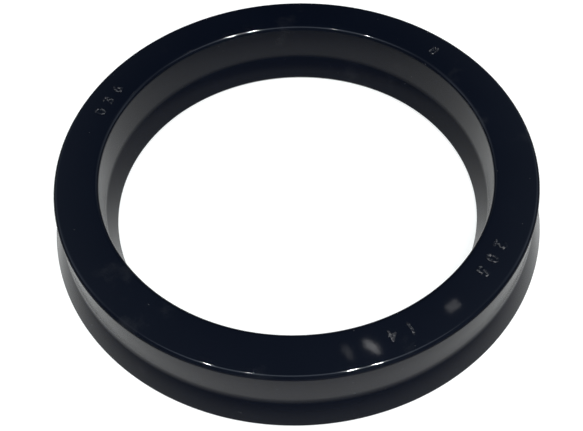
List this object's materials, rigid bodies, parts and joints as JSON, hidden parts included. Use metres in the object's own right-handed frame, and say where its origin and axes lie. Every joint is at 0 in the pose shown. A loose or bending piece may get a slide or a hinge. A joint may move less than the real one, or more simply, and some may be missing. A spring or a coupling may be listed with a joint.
{
  "type": "u cup seal",
  "caption": "One-piece polyurethane U cup seal for a rod or piston, with a flat heel, two flared lips and a pressure groove.",
  "frame": {"origin": "on the ring's axis, in the plane of the two lip ends that it lies on", "axes": "+Z along the ring's axis from the lips to the flat heel; the ring is the same all round"},
  "size_m": [0.104, 0.104, 0.015],
  "materials": {
    "polyurethane": "gloss"
  },
  "bodies": {
    "root": {"u_cup_seal": "polyurethane"}
  },
  "joints": []
}
